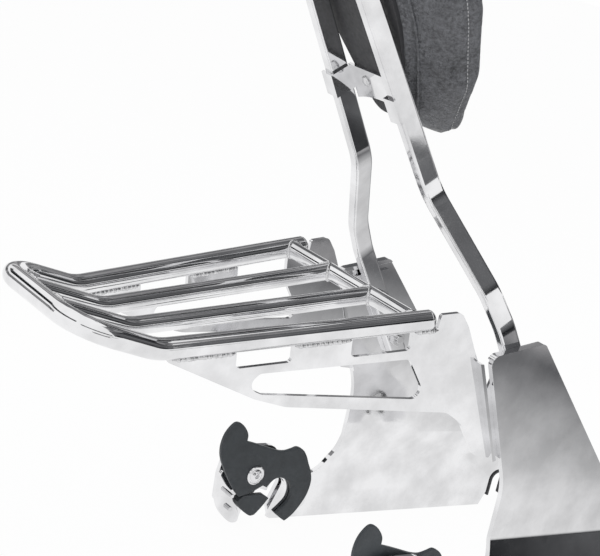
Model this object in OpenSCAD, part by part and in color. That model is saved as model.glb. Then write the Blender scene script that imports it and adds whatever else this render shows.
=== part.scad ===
// Detachable motorcycle backrest with luggage rack.
// Millimetres. +X points forward on the motorcycle, +Y to its left, +Z up.
// The two side plates stand on z = 0 and the whole part is mirrored about y = 0,
// apart from the small differences that a single bar or screw group allows.

/* [Side plates] */
// Thickness of the chromed side plates
plate_t = 6.35; // [4:0.05:9]
// Distance from the outer rack tube's centre, at its front end, to the plate's outer face
plate_offset = 25.5; // [24:0.5:34]
// How far the lower panel steps outwards at the two bends
plate_step = 11; // [6:0.5:16]
// Height of the upper bend line
bend_high_z = 114; // [104:1:130]
// Height of the lower bend line
bend_low_z = 78; // [68:1:90]
// Radius of the two bends, on the inner side
bend_r = 8; // [4:1:14]
// Depth of the rolled rim along the top edge of a side plate
rim_depth = 3; // [2:0.25:3.1]
// Height of the rolled rim
rim_h = 5; // [3:0.5:8]

/* [Backrest bar] */
// Depth of the bar, front to back
bar_w = 22.2; // [18:0.1:28]
// Thickness of the bar, seen from behind
bar_t = 12.7; // [9:0.1:14]
// Angle at which the bar leans back
bar_lean = 35.5; // [28:0.5:38]
// Half the distance between the upright centres at the upper bend
bar_half_gap = 62; // [54:1:68]
// Half the distance between the upright centres at the top of the arch
bar_half_top = 40; // [34:1:52]
// Distance of the upper bend below the lower pad edge
bend_drop = 25; // [15:1:35]
// How far the lower bend stands inside the foot of the bar
foot_step = 9; // [6:1:14]
// Length of the splayed stretch between the two bends, along the bar plane
splay_len = 110; // [100:1:122]
// Length of the stretch between the lower bend and the plate, along the bar plane
tuck_len = 42; // [38:1:50]
// Length of bar below that, fixed to the side plate
foot_len = 155; // [148:1:162]
// Height of the arch above the upper bend's level on the bar
upright_len = 352; // [330:1:380]
// Radius of the bends on the centreline
bar_bend_r = 42; // [30:1:55]
// Forward place of the bar at the level of the lower pad edge
bar_x = -3.5; // [-10:0.5:5]
// Height of the bar at the level of the lower pad edge
bar_z = 504; // [495:1:515]

/* [Rack tubes] */
// Outside diameter of the outer rack tube
tube_d = 22.2; // [18:0.1:25]
// Outside diameter of the inner rack tubes
inner_tube_d = 19; // [14:0.1:21]
// Outside diameter of the cross tube
cross_tube_d = 19; // [14:0.1:21]
// Wall of the rack tubes
tube_wall = 1.8; // [1:0.1:3]
// Half the rack width at its front end
rack_half_front = 118.5; // [108:0.5:135]
// Half the rack width where the tubes start to sweep up
rack_half_rear = 88.5; // [80:0.5:96]
// Length of the level run of the outer tubes
rack_len = 302; // [280:1:330]
// Length of the upswept end
sweep_len = 90; // [70:1:100]
// Angle of the upswept end
sweep_angle = 22; // [12:1:30]
// Height of the tube centreline at the front of the rack
rack_z = 362; // [355:1:368]
// Slope of the rack, down towards its rear end
rack_pitch = 8.9; // [7:0.1:10]
// Half the distance between the inner tubes at the front
inner_half_front = 38; // [30:1:46]
// Distance from the front end of the outer tubes to the cross tube
cross_back = 16; // [14:1:24]

/* [Rack gussets] */
// Thickness of the rack gusset plates
gusset_t = 4.8; // [3:0.1:6]
// Thickness of the tab that lies against the side plate
tab_t = 3.2; // [3.1:0.1:4]

/* [Latches] */
// Forward place of the docking seat in each side plate
seat_x = 64; // [60:1:68]
// Height of the docking seat
seat_z = 50; // [47:1:53]
// Diameter of the docking stud that the seat holds
stud_d = 22; // [20:0.5:24]
// Clearance between stud and seat, on the diameter
stud_clear = 0.3; // [0.1:0.05:0.4]
// Forward place of the lever pivot
pivot_x = 24; // [22:1:26]
// Height of the lever pivot
pivot_z = 69; // [67:1:71]
// Thickness of the latch housing plate on the side plate
housing_t = 6.3; // [4:0.1:8]
// Thickness of the cheek plate beside the lever
cheek_t = 6; // [4:0.1:8]
// Thickness of the latch lever
lever_t = 5; // [4:0.1:7]
// Thickness of the wave washer between cheek and lever
washer_t = 0.6; // [0.4:0.1:1]
// Radius of the pivot screw's shoulder
shoulder_r = 5; // [4:0.1:6]
// Running clearance of the lever on the shoulder, on the radius
pivot_clear = 0.06; // [0.02:0.01:0.1]
// Forward place of the front docking seat
front_seat_x = 448; // [436:1:456]

/* [Pad] */
// Thickness of the cushion
pad_t = 66; // [50:1:76]
// Thickness of the board behind the cushion
board_t = 6; // [4:0.5:10]
// Thickness of the bracket sheet
bracket_t = 3.2; // [2:0.1:4]
// Height of the bracket legs on the uprights
bracket_h = 28; // [22:1:36]
// Distance of the bracket's middle above the lower pad edge
bracket_v = 80; // [74:1:90]
// Greatest half width of the pad
pad_half_w = 131; // [120:1:140]
// Height of the pad
pad_h = 326; // [300:1:340]
// Distance of the pad's lowest edge above the upper bend
pad_v = 6; // [0:1:12]

/* [Fasteners] */
// Diameter of the studs that hold the bar to the side plate
bolt_d = 10; // [8:0.5:11]
// Clearance of the studs in their holes, on the diameter
bolt_clear = 0.6; // [0.3:0.1:1]
// Distance between the two studs
bolt_pitch = 60; // [50:1:64]
// Diameter of the pad screws
screw_d = 6; // [5:0.5:8]
// Distance between the pad screws
screw_pitch = 44; // [34:1:60]

/* [Hidden] */

// Angle step of the arcs in the outlines
arc_step = 6;
far = 900;
gap = 0.3;
fine = 64;

// Layers beside the side plate, from its inner face towards the middle
plate_outer_y = rack_half_front + plate_offset;
upper_inner_y = plate_outer_y - plate_t;
lower_outer_y = plate_outer_y + plate_step;
lower_inner_y = lower_outer_y - plate_t;
tab_inner_y = upper_inner_y - tab_t;
bar_foot_y = tab_inner_y - bar_t / 2;
bar_inner_y = tab_inner_y - bar_t;
housing_inner_y = lower_inner_y - housing_t;
cheek_inner_y = housing_inner_y - cheek_t;
lever_outer_y = cheek_inner_y - washer_t;
lever_inner_y = lever_outer_y - lever_t;
head_clear = 0.2;

// Places along the backrest bar, measured from its upper bend
bend_v = -bend_drop;
low_bend_v = bend_v - splay_len;
tuck_v = low_bend_v - tuck_len;
foot_v = tuck_v - foot_len;
stud_low_v = foot_v + 22;
stud_high_v = stud_low_v + bolt_pitch;

// Rack taper seen from above
taper = atan((rack_half_front - rack_half_rear) / rack_len);
inner_half_rear = inner_half_front * rack_half_rear / rack_half_front;
corner_r = 44;
kink_r = 60;

seat_r = (stud_d + stud_clear) / 2;
bolt_hole_r = (bolt_d + bolt_clear) / 2;
pivot_hole_r = shoulder_r + pivot_clear;

chrome = [0.82, 0.82, 0.84];
dark_coat = [0.16, 0.17, 0.18];
vinyl = [0.2, 0.2, 0.21];

// Point arithmetic for outlines with rounded corners
function unit(v) = v / norm(v);
function turn_sign(a, b, c) = sign((b.x - a.x) * (c.y - b.y) - (b.y - a.y) * (c.x - b.x));
function corner_arc(a, b, c, r) =
    let (to_a = unit(a - b),
         to_c = unit(c - b),
         half = acos(max(-1, min(1, to_a * to_c))) / 2,
         reach = r / tan(half),
         centre = b + unit(to_a + to_c) * r / sin(half),
         start = b + to_a * reach - centre,
         turn = 180 - 2 * half,
         steps = max(1, ceil(turn / arc_step)),
         first = atan2(start.y, start.x),
         way = turn_sign(a, b, c))
    [for (i = [0:steps]) centre + r * [cos(first + way * turn * i / steps),
                                       sin(first + way * turn * i / steps)]];
// A closed outline: each corner is [x, y, radius]
function rounded(corners) =
    let (n = len(corners),
         xy = [for (c = corners) [c.x, c.y]])
    [for (i = [0:n - 1])
        each corners[i][2] > 0
            ? corner_arc(xy[(i + n - 1) % n], xy[i], xy[(i + 1) % n], corners[i][2])
            : [xy[i]]];
// An open path: its ends stay sharp
function rounded_path(corners) =
    let (n = len(corners),
         xy = [for (c = corners) [c.x, c.y]])
    concat([xy[0]],
           [for (i = [1:n - 2]) each corner_arc(xy[i - 1], xy[i], xy[i + 1], corners[i][2])],
           [xy[n - 1]]);
function path_tangent(path, i) =
    unit(path[min(i + 1, len(path) - 1)] - path[max(i - 1, 0)]);
function beside(path, d) =
    [for (i = [0:len(path) - 1])
        let (t = path_tangent(path, i)) path[i] + d * [-t.y, t.x]];
function backwards(list) = [for (i = [len(list) - 1:-1:0]) list[i]];
function band(path, left, right) = concat(beside(path, left), backwards(beside(path, right)));

// Frames of reference
// The outlines are drawn from the lower edge of the plates; the part is then placed by its rear seat
module placed() {
    translate([-seat_x, 0, -seat_z]) children();
}
module on_side(side) {
    if (side > 0) children();
    else mirror([0, 1, 0]) children();
}
module in_bar_frame() {
    translate([bar_x, 0, bar_z]) rotate([0, -bar_lean, 0]) children();
}
module in_rack_frame() {
    translate([0, 0, rack_z]) rotate([0, -rack_pitch, 0]) children();
}
// Extrudes a drawing of the x-z plane from y0 to y1
module side_slab(y0, y1) {
    translate([0, y1, 0]) rotate([90, 0, 0]) linear_extrude(y1 - y0) children();
}
// Extrudes a drawing of the y-z plane from x0 to x1
module front_slab(x0, x1) {
    translate([x0, 0, 0]) rotate([90, 0, 90]) linear_extrude(x1 - x0) children();
}
// A cylinder along y from y0 to y1 at x, z
module cross_pin(x, z, r, y0, y1) {
    translate([x, y1, z]) rotate([90, 0, 0]) cylinder(r = r, h = y1 - y0, $fn = fine);
}

// Side plates
plate_outline = rounded([
    [77, 330, 10], [152, 347, 9], [330, 163, 60], [500, 52, 20], [512, 0, 10], [20, 0, 4],
    [-14, 31, 8], [-17, 64, 18], [-12, 103, 24], [52, 103, 22], [88, 50, 16],
    [152, 66, 46], [149.5, 178, 80]]);
plate_profile = rounded_path([
    [plate_outer_y, 400, 0], [plate_outer_y, bend_high_z, bend_r + plate_t],
    [lower_outer_y, bend_low_z, bend_r], [lower_outer_y, -20, 0]]);
// The mouth narrows from the lower edge to the seat
mouth_low_x = [27, 75];
mouth_mid = [30, 62, 19];
module docking_notch_shape() {
    polygon([[mouth_low_x[0], -1], [mouth_low_x[1], -1], [mouth_mid[1] + 4, mouth_mid[2]],
             [seat_x + seat_r * cos(-24), seat_z + seat_r * sin(-24)],
             [seat_x - seat_r * cos(24), seat_z + seat_r * sin(24)],
             [mouth_mid[0], mouth_mid[2]]]);
}
module front_notch_shape() {
    polygon([[front_seat_x - 24, -1], [front_seat_x + 24, -1], [front_seat_x + bush_r, 22],
             [front_seat_x + bush_r, front_seat_z], [front_seat_x - bush_r, front_seat_z],
             [front_seat_x - bush_r, 22]]);
}
front_seat_z = 36;
bush_wall = 3;
bush_r = seat_r + bush_wall;

module side_plate() {
    color(chrome) difference() {
        union() {
            intersection() {
                side_slab(plate_outer_y - 40, plate_outer_y + 40) polygon(plate_outline);
                front_slab(-100, 600) polygon(band(plate_profile, 0, -plate_t));
            }
            side_slab(upper_inner_y - rim_depth, upper_inner_y) intersection() {
                polygon(plate_outline);
                polygon([[60, 320], [77, 330 - rim_h], [152, 347 - rim_h], [170, 347], [150, 360],
                         [60, 345]]);
            }
        }
        side_slab(0, far) docking_notch_shape();
        cross_pin(seat_x, seat_z, seat_r, 0, far);
        side_slab(0, far) front_notch_shape();
        cross_pin(front_seat_x, front_seat_z, bush_r, 0, far);
        cross_pin(pivot_x, pivot_z, shoulder_r * 0.7, 0, far);
        rivet_places() cross_pin(0, 0, rivet_r, 0, far);
    }
}

// Backrest bar: one flat bar bent into an arch with splayed feet
bar_half = [[bar_foot_y, foot_v, 0], [bar_foot_y, tuck_v, bar_bend_r],
            [bar_foot_y - foot_step, low_bend_v, bar_bend_r], [bar_half_gap, bend_v, bar_bend_r],
            [bar_half_top, upright_len, bar_half_top - 3]];
// The uprights lean towards each other by a few degrees
lean_in = atan((bar_half_gap - bar_half_top) / (upright_len - bend_v));
function upright_half(v) = bar_half_gap - (v - bend_v) * tan(lean_in);
bar_path = rounded_path(concat(bar_half, [for (p = backwards(bar_half)) [-p.x, p.y, p[2]]]));
module sissy_bar() {
    color(chrome) in_bar_frame() difference() {
        union() {
            front_slab(-bar_w / 2, bar_w / 2) polygon(band(bar_path, bar_t / 2, -bar_t / 2));
            for (side = [-1, 1])
                on_side(side) cross_pin(0, foot_v, bar_w / 2, bar_inner_y, bar_inner_y + bar_t);
        }
        for (side = [-1, 1], v = [stud_low_v, stud_high_v])
            on_side(side) cross_pin(0, v, bolt_hole_r, 0, far);
    }
}

// Studs welded to the inner face of the side plate, with washers and nuts
nut_h = 8;
nut_across = 17;
flat_washer_t = 1.6;
stud_end_y = bar_inner_y - flat_washer_t - nut_h - 2.5;
module stud_places() {
    in_bar_frame() for (v = [stud_low_v, stud_high_v]) translate([0, 0, v]) children();
}
module plate_studs() {
    color(chrome) stud_places() cross_pin(0, 0, bolt_d / 2, stud_end_y, upper_inner_y);
}
module stud_washers() {
    color(chrome) stud_places() difference() {
        cross_pin(0, 0, bolt_d, bar_inner_y - flat_washer_t, bar_inner_y);
        cross_pin(0, 0, bolt_d / 2 + 0.2, 0, far);
    }
}
module stud_nuts() {
    nut_y = bar_inner_y - flat_washer_t;
    color(chrome) stud_places() difference() {
        intersection() {
            translate([0, nut_y, 0]) rotate([90, 0, 0])
                cylinder(r = nut_across / 2 / cos(30), h = nut_h, $fn = 6);
            translate([0, nut_y, 0]) rotate([90, 0, 0])
                cylinder(r = nut_across / 2 * 1.08, h = nut_h, $fn = fine);
        }
        cross_pin(0, 0, bolt_d / 2 + 0.05, 0, far);
    }
}

// Rack tubes
function frame_of(o, ex, ez) =
    let (ey = cross(ez, ex))
    [[ex.x, ey.x, ez.x, o.x], [ex.y, ey.y, ez.y, o.y], [ex.z, ey.z, ez.z, o.z], [0, 0, 0, 1]];
module rod(a, b, r) {
    along = unit(b - a);
    side = unit(cross(along, abs(along.z) < 0.9 ? [0, 0, 1] : [1, 0, 0]));
    multmatrix(frame_of(a, side, along)) cylinder(r = r, h = norm(b - a), $fn = fine);
}
module pipe(a, b, r) {
    along = unit(b - a);
    side = unit(cross(along, abs(along.z) < 0.9 ? [0, 0, 1] : [1, 0, 0]));
    multmatrix(frame_of(a, side, along)) difference() {
        cylinder(r = r, h = norm(b - a), $fn = fine);
        translate([0, 0, -1]) cylinder(r = r - tube_wall, h = norm(b - a) + 2, $fn = fine);
    }
}
lap = 0.6;
lap_step = 0.03;
function tangent_len(a, b, c, r) = r / tan(acos(unit(a - b) * unit(c - b)) / 2);
module elbow(a, b, c, bend, r) {
    to_a = unit(a - b);
    to_c = unit(c - b);
    half = acos(to_a * to_c) / 2;
    centre = b + unit(to_a + to_c) * bend / sin(half);
    start = unit(b + to_a * bend / tan(half) - centre);
    normal = unit(cross(to_c, to_a));
    // The bend reaches a little way into the wall of the straight runs
    multmatrix(frame_of(centre, start, normal)) rotate([0, 0, -lap])
        rotate_extrude(angle = 180 - 2 * half + 2 * lap, $fn = 96) translate([bend, 0]) difference() {
            circle(r - lap_step, $fn = 48);
            circle(r - tube_wall + lap_step, $fn = 48);
        }
}
// A tube along points, with a bend radius at each inner point
module pipe_run(points, bends, d) {
    n = len(points);
    for (i = [0:n - 2]) {
        cut_a = i == 0 ? 0 : tangent_len(points[i - 1], points[i], points[i + 1], bends[i]);
        cut_b = i == n - 2 ? 0 : tangent_len(points[i], points[i + 1], points[i + 2], bends[i + 1]);
        way = unit(points[i + 1] - points[i]);
        pipe(points[i] + way * cut_a, points[i + 1] - way * cut_b, d / 2);
    }
    for (i = [1:n - 2]) elbow(points[i - 1], points[i], points[i + 1], bends[i], d / 2);
}
sweep_run = sweep_len * cos(sweep_angle);
sweep_rise = sweep_len * sin(sweep_angle);
rear_x = -rack_len - sweep_run;
rear_half = rack_half_rear - sweep_run * tan(taper) * 0.3;
hoop_half = [[0, rack_half_front, 0], [-rack_len, rack_half_rear, 0],
             [rear_x, rear_half, sweep_rise]];
module rack_hoop() {
    points = concat(hoop_half, [for (p = backwards(hoop_half)) [p.x, -p.y, p.z]]);
    color(chrome) in_rack_frame() pipe_run(points, [0, kink_r, corner_r, corner_r, kink_r, 0], tube_d);
}
// The inner tubes stop a little short of the tubes that they are welded to
inner_rear_half = inner_half_rear * rear_half / rack_half_rear;
inner_start = [-cross_back - cross_tube_d / 2 - gap, inner_half_front - 1, 0];
inner_kink = [-rack_len, inner_half_rear, 0];
inner_rear_dir = unit([rear_x, inner_rear_half, sweep_rise] - inner_kink);
inner_end = [rear_x, inner_rear_half, sweep_rise] - inner_rear_dir * (tube_d / 2 + gap);
module rack_tube() {
    color(chrome) in_rack_frame() difference() {
        pipe_run([inner_start + [6, 0, 0], inner_kink, inner_end + inner_rear_dir * 6],
                 [0, kink_r, 0], inner_tube_d);
        rod([-cross_back, -far, 0], [-cross_back, far, 0], cross_tube_d / 2 + gap);
        rod([rear_x, -far, sweep_rise], [rear_x, far, sweep_rise], tube_d / 2 + gap);
    }
}
module rack_cross_tube() {
    reach = rack_half_front;
    color(chrome) in_rack_frame() difference() {
        rod([-cross_back, -reach, 0], [-cross_back, reach, 0], cross_tube_d / 2);
        rod([-cross_back, -reach, 0], [-cross_back, reach, 0], cross_tube_d / 2 - tube_wall);
        for (side = [-1, 1])
            on_side(side) rod([60, rack_half_front + 60 * tan(taper), 0],
                              [-rack_len, rack_half_rear, 0], tube_d / 2 + gap);
    }
}
// Domed plug in the open front end of each outer tube
cap_proud = 7;
module rack_cap() {
    color(chrome) in_rack_frame() translate([0, rack_half_front, 0]) rotate([0, 0, taper])
        rotate([0, 90, 0]) {
            rotate_extrude($fn = fine) polygon([[0, -12], [tube_d / 2 - tube_wall - 0.1, -12],
                [tube_d / 2 - tube_wall - 0.1, 0.2], [tube_d / 2 - 0.4, 0.2],
                for (a = [0:15:90]) [(tube_d / 2 - 0.4) * cos(a), 1 + (cap_proud - 1) * sin(a)]]);
        }
}

// Gusset plate under each outer tube, with its flange and the tab on the side plate
gusset_outline = rounded([
    [-297, -tube_d / 2 + 2, 0], [-292, -14, 3], [-196, -64, 40], [-160, -77, 40], [38, -109, 22],
    [58, -124, 30], [80, -165, 12], [107, -173, 3], [69, -53, 4], [62, -38, 10], [51, -12, 12],
    [40, 5, 10], [15, 5, 3], [12, -tube_d / 2 + 2, 0]]);
slot_rear = [-220, -158, -28.5];
slot_front = [-90, -19, -31];
module gusset_slot(s) {
    polygon(rounded([[s[0], 0, 0], [s[0], s[2], 5], [s[1], s[2], 5], [s[1], 0, 0]]));
}
module gusset_window() {
    polygon(rounded([[-207, -50, 9], [-192, -37, 8], [-18, -41, 9], [2, -76, 11], [-4, -88, 9],
                     [-188, -60, 6]]));
}
flange_top = [69, -53];
flange_low = [107, -173];
module in_gusset_plane() {
    in_rack_frame() translate([0, rack_half_front, 0]) rotate([0, 0, taper]) children();
}
module tab_shape() {
    intersection() {
        translate([172, 284]) circle(r = 82, $fn = 96);
        polygon([[78, 317], [152, 334], [240, 245], [240, 180], [120, 180], [131, 208]]);
    }
}
module gusset() {
    color(chrome) difference() {
        union() {
            in_gusset_plane() side_slab(-gusset_t / 2, gusset_t / 2) difference() {
                polygon(gusset_outline);
                gusset_slot(slot_rear);
                gusset_slot(slot_front);
                gusset_window();
            }
            intersection() {
                in_rack_frame() translate([0, 0, 0]) side_slab(rack_half_front + 4, 200)
                    polygon([flange_top, flange_low, flange_low - [gusset_t, 1],
                             flange_top - [gusset_t, -1]]);
                translate([0, rack_half_front, 0])
                    cube([600, upper_inner_y - rack_half_front, 600]);
            }
            side_slab(tab_inner_y, upper_inner_y) tab_shape();
        }
        in_rack_frame() rod([8, rack_half_front + 8 * tan(taper), 0],
                            [-rack_len - 60, rack_half_rear - 60 * tan(taper), 0],
                            tube_d / 2 + gap / 3);
        in_rack_frame() translate([0, rack_half_front, 0]) rotate([0, 0, taper])
            rotate([0, 90, 0]) cylinder(r = tube_d / 2, h = cap_proud + 1, $fn = fine);
        stud_places() cross_pin(0, 0, bolt_hole_r, 0, far);
        clear_of_gusset_edge();
    }
}
// Keeps the bent flange inside the rear edge of the side plate
module clear_of_gusset_edge() {
    translate([300, 0, 0]) cube([300, far, far]);
}

// Latch pieces
rivet_r = 3;
rivet_spots = [[4, 22], [96, 62], [108, 30]];
module rivet_places() {
    for (p = rivet_spots) translate([p.x, 0, p.y]) children();
}
housing_outline = rounded([
    [12, 8, 4], [-8, 30, 8], [-9, 58, 12], [-4, 73, 8], [104, 73, 10],
    [117, 56, 14], [118, 20, 10], [84, 3, 4]]);
slot_dir = unit([seat_x - 50, seat_z - 8]);
module guide_slot_shape() {
    side = [slot_dir.y, -slot_dir.x] * seat_r;
    low = [seat_x, seat_z] - slot_dir * 90;
    polygon([[seat_x, seat_z] + side, [seat_x, seat_z] - side, low - side, low + side]);
}
module guide_cut() {
    side_slab(0, far) guide_slot_shape();
    cross_pin(seat_x, seat_z, seat_r, 0, far);
}
module latch_housing() {
    color(chrome) difference() {
        side_slab(housing_inner_y, lower_inner_y) polygon(housing_outline);
        guide_cut();
        cross_pin(pivot_x, pivot_z, shoulder_r * 0.7, 0, far);
        rivet_places() cross_pin(0, 0, rivet_r, 0, far);
    }
}
// The cheek covers the housing above and in front of the slot
cheek_outline = rounded([
    [6, 50, 3], [-4, 60, 6], [-2, 75, 8], [100, 75, 10],
    [113, 56, 12], [114, 22, 9], [84, 8, 3], [60, 8, 0], [66, 40, 0], [40, 48, 4]]);
module latch_cheek() {
    color(chrome) difference() {
        side_slab(cheek_inner_y, housing_inner_y) polygon(cheek_outline);
        guide_cut();
        cross_pin(pivot_x, pivot_z, shoulder_r * 0.7, 0, far);
        translate([rivet_spots[1].x, 0, rivet_spots[1].y]) cross_pin(0, 0, rivet_r, 0, far);
        translate([rivet_spots[2].x, 0, rivet_spots[2].y]) cross_pin(0, 0, rivet_r, 0, far);
    }
}
jaw_outline = rounded([[15, 44, 4], [2, 30, 5], [22, 8, 12], [50, 8, 0], [56, 20, 0], [48, 43, 4]]);
module latch_jaw() {
    color(dark_coat) difference() {
        side_slab(cheek_inner_y, housing_inner_y) polygon(jaw_outline);
        guide_cut();
        translate([rivet_spots[0].x, 0, rivet_spots[0].y]) cross_pin(0, 0, rivet_r, 0, far);
    }
}
// Black rotary lever: thumb tab at the rear, hook in front of the docking seat
lever_outline = rounded([
    [-26, 137, 6], [-12, 139, 7], [2, 126, 5], [2, 112, 6], [26, 109, 12], [46, 99, 14],
    [66, 97, 16], [82, 105, 9], [97, 97, 8], [104, 76, 10], [112, 70, 8], [112, 42, 24],
    [101, 14, 12], [87.5, 3.5, 2], [72, 14, 2], [86, 40, 16], [85, 59, 10], [64, 65.5, 7],
    [51, 56, 4], [46, 49, 4], [26, 48, 5], [9.5, 39, 4], [-5, 50, 6], [-21, 77, 20], [-35, 104, 14]]);
lever_dimple = [2, 74];
module latch_lever() {
    color(dark_coat) difference() {
        side_slab(lever_inner_y, lever_outer_y) polygon(lever_outline);
        cross_pin(pivot_x, pivot_z, pivot_hole_r, 0, far);
        cross_pin(lever_dimple.x, lever_dimple.y, 2, lever_inner_y - 1, lever_inner_y + 1.5);
    }
}
module wave_washer() {
    color(chrome) difference() {
        cross_pin(pivot_x, pivot_z, 12, lever_outer_y, cheek_inner_y);
        cross_pin(pivot_x, pivot_z, shoulder_r + 0.25, 0, far);
    }
}
// Shoulder screw: flanged button head with a six-lobed socket
head_r = 12;
head_h = 4.5;
module pivot_screw() {
    head_y = lever_inner_y - head_clear;
    color(chrome) difference() {
        union() {
            cross_pin(pivot_x, pivot_z, shoulder_r, head_y, cheek_inner_y);
            cross_pin(pivot_x, pivot_z, shoulder_r * 0.7, cheek_inner_y, lower_outer_y);
            translate([pivot_x, head_y, pivot_z]) rotate([90, 0, 0])
                rotate_extrude($fn = fine) polygon([[0, 0], [head_r, 0], [head_r, 1.4],
                    [head_r - 1.2, 2.2], [head_r - 3.2, 1.6],
                    for (a = [0:15:90]) [(head_r - 4) * cos(a), 1.6 + (head_h - 1.6) * sin(a)]]);
        }
        translate([pivot_x, head_y - 1.6, pivot_z]) rotate([90, 0, 0]) {
            cylinder(r = 2.8, h = head_h, $fn = fine);
            for (a = [0:60:300]) rotate([0, 0, a]) translate([2.8, 0, 0])
                cylinder(r = 0.9, h = head_h, $fn = 24);
        }
    }
}
stop_spot = [-2, 42];
module stop_pin() {
    color(chrome) cross_pin(stop_spot.x, stop_spot.y, 2.5, lever_inner_y, housing_inner_y);
}
module latch_rivets() {
    color(chrome) for (i = [0:2]) translate([rivet_spots[i].x, 0, rivet_spots[i].y])
        cross_pin(0, 0, rivet_r, cheek_inner_y, lower_outer_y);
}
// Moulded bush in the front docking notch
module front_bush() {
    color(dark_coat) difference() {
        side_slab(lower_inner_y - 2, lower_outer_y + 2) union() {
            translate([front_seat_x, front_seat_z]) circle(r = bush_r, $fn = fine);
            translate([front_seat_x - bush_r, 14]) square([2 * bush_r, front_seat_z - 14]);
        }
        cross_pin(front_seat_x, front_seat_z, seat_r, 0, far);
        side_slab(0, far) translate([front_seat_x - seat_r, 0]) square([2 * seat_r, front_seat_z]);
    }
}

// Pad, board and bracket, drawn in the bar frame
web_u = bar_w / 2;
board_u = web_u + bracket_t + 0.1;
cushion_u = board_u + board_t + 0.1;
pad_outline = rounded([
    [-pad_half_w * 0.34, pad_v, 36], [pad_half_w * 0.34, pad_v, 36],
    [pad_half_w * 0.66, pad_v + pad_h * 0.19, 70], [pad_half_w, pad_v + pad_h * 0.55, 150],
    [pad_half_w - 10, pad_v + pad_h, 70], [10 - pad_half_w, pad_v + pad_h, 70],
    [-pad_half_w, pad_v + pad_h * 0.55, 150], [-pad_half_w * 0.66, pad_v + pad_h * 0.19, 70]]);
// The back of the pad is narrower than its front
back_half = pad_half_w * 0.53;
pad_back = rounded([
    [-back_half * 0.34, pad_v + 36, 22], [back_half * 0.34, pad_v + 36, 22],
    [back_half, pad_v + pad_h * 0.48, 150], [back_half - 4, pad_v + pad_h - 36, 34],
    [4 - back_half, pad_v + pad_h - 36, 34], [-back_half, pad_v + pad_h * 0.48, 150]]);
module pad_slab(u0, u1, inset) {
    front_slab(u0, u1) offset(delta = -inset) polygon(pad_outline);
}
module pad_cushion() {
    color(vinyl) in_bar_frame() hull() {
        front_slab(cushion_u, cushion_u + 1) polygon(pad_back);
        pad_slab(cushion_u + pad_t * 0.34, cushion_u + pad_t * 0.34 + 1, 20);
        pad_slab(cushion_u + pad_t * 0.55, cushion_u + pad_t * 0.68, 0);
        pad_slab(cushion_u + pad_t * 0.84, cushion_u + pad_t * 0.84 + 1, 8);
        pad_slab(cushion_u + pad_t - 1, cushion_u + pad_t, 30);
    }
}
module pad_board() {
    color(dark_coat) in_bar_frame() difference() {
        front_slab(board_u, board_u + board_t) offset(delta = -1.5) polygon(pad_back);
        pad_screw_places() rotate([0, 90, 0]) cylinder(r = screw_d / 2 + 0.1, h = far, $fn = fine);
    }
}
module pad_screw_places() {
    for (side = [-1, 1]) translate([0, side * screw_pitch / 2, bracket_v]) children();
}
web_low_v = bracket_v - bracket_h / 2 - 14;
web_top_v = bracket_v + bracket_h / 2;
web_half = upright_half(web_top_v) - bar_t / 2;
arch_rise = 9;
arch_r = (web_half * web_half + arch_rise * arch_rise) / (2 * arch_rise);
module at_upright(side) {
    on_side(side) translate([0, upright_half(bracket_v), bracket_v]) rotate([lean_in, 0, 0])
        children();
}
module pad_bracket() {
    color(chrome) in_bar_frame() difference() {
        union() {
            front_slab(web_u + 0.05, web_u + bracket_t) difference() {
                translate([-web_half, web_low_v]) square([2 * web_half, web_top_v - web_low_v]);
                translate([0, web_low_v + arch_rise - arch_r]) circle(r = arch_r, $fn = 128);
            }
            for (side = [-1, 1]) at_upright(side) {
                front_slab(-bar_w / 2 - bracket_t, web_u + bracket_t)
                    translate([-bar_t / 2 - bracket_t, -bracket_h / 2]) square([bracket_t, bracket_h]);
                front_slab(-bar_w / 2 - bracket_t, -bar_w / 2 - 0.05)
                    translate([-bar_t / 2 - bracket_t, -bracket_h / 2])
                    square([bar_t + bracket_t + 2, bracket_h]);
            }
        }
        pad_screw_places() rotate([0, 90, 0]) cylinder(r = screw_d / 2 + 0.3, h = far, $fn = fine);
    }
}
module pad_screws() {
    color(chrome) in_bar_frame() pad_screw_places() rotate([0, 90, 0]) {
        translate([0, 0, web_u]) cylinder(r = screw_d / 2, h = bracket_t + board_t, $fn = fine);
        translate([0, 0, web_u + 0.05]) mirror([0, 0, 1])
            rotate_extrude($fn = fine) polygon([[0, 0], [screw_d, 0], [screw_d, 0.8],
                for (a = [0:15:90]) [screw_d * cos(a), 0.8 + 2.6 * sin(a)]]);
    }
}

placed() sissy_bar();
placed() pad_cushion();
placed() pad_board();
placed() pad_bracket();
placed() pad_screws();
placed() on_side(-1) side_plate();  // side_plate_right
placed() on_side(1) side_plate();  // side_plate_left
placed() rack_hoop();
placed() on_side(-1) rack_tube();  // rack_tube_right
placed() on_side(1) rack_tube();  // rack_tube_left
placed() rack_cross_tube();
placed() on_side(-1) rack_cap();  // rack_cap_right
placed() on_side(1) rack_cap();  // rack_cap_left
placed() on_side(-1) gusset();  // gusset_right
placed() on_side(1) gusset();  // gusset_left
placed() on_side(-1) plate_studs();  // plate_studs_right
placed() on_side(1) plate_studs();  // plate_studs_left
placed() on_side(-1) stud_washers();  // stud_washers_right
placed() on_side(1) stud_washers();  // stud_washers_left
placed() on_side(-1) stud_nuts();  // stud_nuts_right
placed() on_side(1) stud_nuts();  // stud_nuts_left
placed() on_side(-1) latch_housing();  // latch_housing_right
placed() on_side(1) latch_housing();  // latch_housing_left
placed() on_side(-1) latch_cheek();  // latch_cheek_right
placed() on_side(1) latch_cheek();  // latch_cheek_left
placed() on_side(-1) latch_jaw();  // latch_jaw_right
placed() on_side(1) latch_jaw();  // latch_jaw_left
placed() on_side(-1) latch_lever();  // latch_lever_right
placed() on_side(1) latch_lever();  // latch_lever_left
placed() on_side(-1) wave_washer();  // wave_washer_right
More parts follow.
